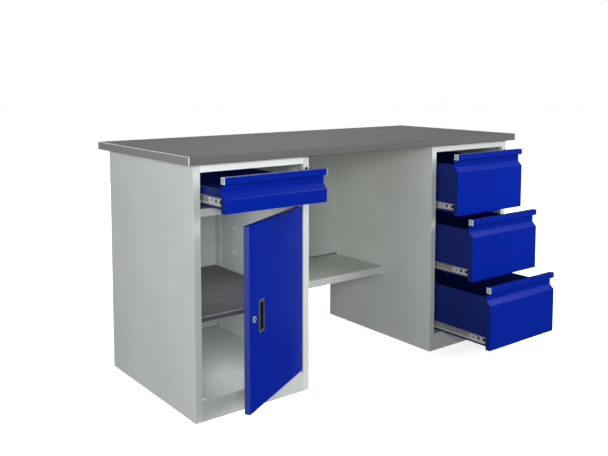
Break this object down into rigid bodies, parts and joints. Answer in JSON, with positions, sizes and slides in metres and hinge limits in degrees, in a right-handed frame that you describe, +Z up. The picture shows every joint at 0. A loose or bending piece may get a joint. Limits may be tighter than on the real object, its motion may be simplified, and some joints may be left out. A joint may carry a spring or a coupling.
{
  "type": "workbench",
  "caption": "Steel-clad workbench on sheet-steel pedestals, with a drawer above a hinged cupboard, a stack of drawers on ball slides, a back screen and a low shelf.",
  "frame": {"origin": "on the floor, under the middle of the bench's box with its drawers open as in the picture", "axes": "+X along the bench to the right, +Y from the drawers to the back, +Z up"},
  "size_m": [1.6, 0.954, 0.87],
  "materials": {
    "board": "raw pressed board edges",
    "worktop_steel": "dark grey coated sheet, satin",
    "end_plate_steel": "grey coated plate, satin",
    "grey_paint": "light grey powder coat, fine satin",
    "shelf_paint": "dark grey powder coat, satin",
    "blue_paint": "gentian blue powder coat, satin",
    "zinc_steel": "bright zinc plate",
    "ball_steel": "polished bearing steel",
    "lock_chrome": "polished plate",
    "lock_black": "black passivated",
    "handle_plastic": "dark olive-grey moulded plastic",
    "cap_plastic": "light grey moulded plastic",
    "nylon": "white nylon"
  },
  "bodies": {
    "bench": {"back_screen": "grey_paint", "cupboard_shelf": "shelf_paint", "cupboard_shelf_studs": "zinc_steel", "door_pivot_bushes": "nylon", "drawer_lock_cases": "lock_black", "left_drawer_slide_outer_members": "zinc_steel", "left_pedestal_back": "grey_paint", "left_pedestal_divider": "grey_paint", "left_pedestal_floor": "grey_paint", "left_pedestal_inner_wall": "grey_paint", "left_pedestal_outer_wall": "grey_paint", "left_pedestal_top": "grey_paint", "left_slide_posts": "grey_paint", "lock_bar_guides": "zinc_steel", "low_shelf": "grey_paint", "lower_drawer_slide_outer_members": "zinc_steel", "middle_drawer_slide_outer_members": "zinc_steel", "right_pedestal_back": "grey_paint", "right_pedestal_floor": "grey_paint", "right_pedestal_inner_wall": "grey_paint", "right_pedestal_outer_wall": "grey_paint", "right_pedestal_top": "grey_paint", "right_slide_posts": "grey_paint", "tie_bolts": "zinc_steel", "upper_drawer_slide_outer_members": "zinc_steel", "worktop_cladding": "worktop_steel", "worktop_core": "board", "worktop_end_plates": "end_plate_steel", "worktop_screws": "zinc_steel"},
    "door": {"door_outer_skin": "blue_paint", "door_inner_skin": "blue_paint", "door_handle": "handle_plastic", "door_hinge_pins": "zinc_steel", "door_lock_case": "lock_chrome"},
    "door_lock": {"door_lock_plug": "lock_chrome"},
    "left_drawer_lock": {"left_drawer_lock_plug": "lock_black"},
    "right_drawer_lock": {"right_drawer_lock_plug": "lock_black"},
    "left_bar": {"left_lock_bar": "zinc_steel"},
    "right_bar": {"right_lock_bar": "zinc_steel"},
    "left_drawer": {"left_drawer_front": "blue_paint", "left_drawer_lip_caps": "cap_plastic", "left_drawer_box": "blue_paint", "left_drawer_slide_inner_members": "zinc_steel"},
    "left_drawer_cages": {"left_drawer_slide_ball_cages": "ball_steel"},
    "upper_drawer": {"upper_drawer_front": "blue_paint", "upper_drawer_lip_caps": "cap_plastic", "upper_drawer_box": "blue_paint", "upper_drawer_slide_inner_members": "zinc_steel"},
    "upper_drawer_cages": {"upper_drawer_slide_ball_cages": "ball_steel"},
    "middle_drawer": {"middle_drawer_front": "blue_paint", "middle_drawer_lip_caps": "cap_plastic", "middle_drawer_box": "blue_paint", "middle_drawer_slide_inner_members": "zinc_steel"},
    "middle_drawer_cages": {"middle_drawer_slide_ball_cages": "ball_steel"},
    "lower_drawer": {"lower_drawer_front": "blue_paint", "lower_drawer_lip_caps": "cap_plastic", "lower_drawer_box": "blue_paint", "lower_drawer_slide_inner_members": "zinc_steel"},
    "lower_drawer_cages": {"lower_drawer_slide_ball_cages": "ball_steel"}
  },
  "joints": [
    {"name": "left_drawer_slide", "type": "slide", "parent": "bench", "child": "left_drawer", "axis": [0, -1, 0], "range_m": [-0.138, 0.252]},
    {"name": "left_drawer_cages_roll", "type": "slide", "parent": "bench", "child": "left_drawer_cages", "axis": [0, -1, 0], "range_m": [-0.069, 0.126]},
    {"name": "upper_drawer_slide", "type": "slide", "parent": "bench", "child": "upper_drawer", "axis": [0, -1, 0], "range_m": [-0.109, 0.281]},
    {"name": "upper_drawer_cages_roll", "type": "slide", "parent": "bench", "child": "upper_drawer_cages", "axis": [0, -1, 0], "range_m": [-0.0545, 0.1405]},
    {"name": "middle_drawer_slide", "type": "slide", "parent": "bench", "child": "middle_drawer", "axis": [0, -1, 0], "range_m": [-0.1885, 0.2015]},
    {"name": "middle_drawer_cages_roll", "type": "slide", "parent": "bench", "child": "middle_drawer_cages", "axis": [0, -1, 0], "range_m": [-0.09425, 0.10075]},
    {"name": "lower_drawer_slide", "type": "slide", "parent": "bench", "child": "lower_drawer", "axis": [0, -1, 0], "range_m": [-0.281, 0.109]},
    {"name": "lower_drawer_cages_roll", "type": "slide", "parent": "bench", "child": "lower_drawer_cages", "axis": [0, -1, 0], "range_m": [-0.1405, 0.0545]},
    {"name": "door_hinge", "type": "hinge", "parent": "bench", "child": "door", "pos_m": [-0.3465, -0.1875, 0.075], "axis": [0, 0, 1], "range_deg": [-29.2, 70.8]},
    {"name": "door_lock_turn", "type": "hinge", "parent": "door", "child": "door_lock", "pos_m": [-0.66053, -0.37274, 0.37], "axis": [-0.4879, 0.8729, 0], "range_deg": [0, 90]},
    {"name": "left_drawer_lock_turn", "type": "hinge", "parent": "bench", "child": "left_drawer_lock", "pos_m": [-0.3214, -0.196, 0.797], "axis": [0, -1, 0], "range_deg": [0, 90]},
    {"name": "left_bar_drop", "type": "slide", "parent": "bench", "child": "left_bar", "axis": [0, 0, -1], "range_m": [0, 0.00849]},
    {"name": "right_drawer_lock_turn", "type": "hinge", "parent": "bench", "child": "right_drawer_lock", "pos_m": [0.7586, -0.196, 0.797], "axis": [0, -1, 0], "range_deg": [0, 90]},
    {"name": "right_bar_drop", "type": "slide", "parent": "bench", "child": "right_bar", "axis": [0, 0, -1], "range_m": [0, 0.00849]}
  ],
  "couplings": [
    {"joint": "left_drawer_cages_roll", "follows": "left_drawer_slide", "ratio": 0.5},
    {"joint": "upper_drawer_cages_roll", "follows": "upper_drawer_slide", "ratio": 0.5},
    {"joint": "middle_drawer_cages_roll", "follows": "middle_drawer_slide", "ratio": 0.5},
    {"joint": "lower_drawer_cages_roll", "follows": "lower_drawer_slide", "ratio": 0.5},
    {"joint": "left_drawer_lock_turn", "follows": "left_bar_drop", "rad_per_m": 185.12},
    {"joint": "right_drawer_lock_turn", "follows": "right_bar_drop", "rad_per_m": 185.12}
  ]
}
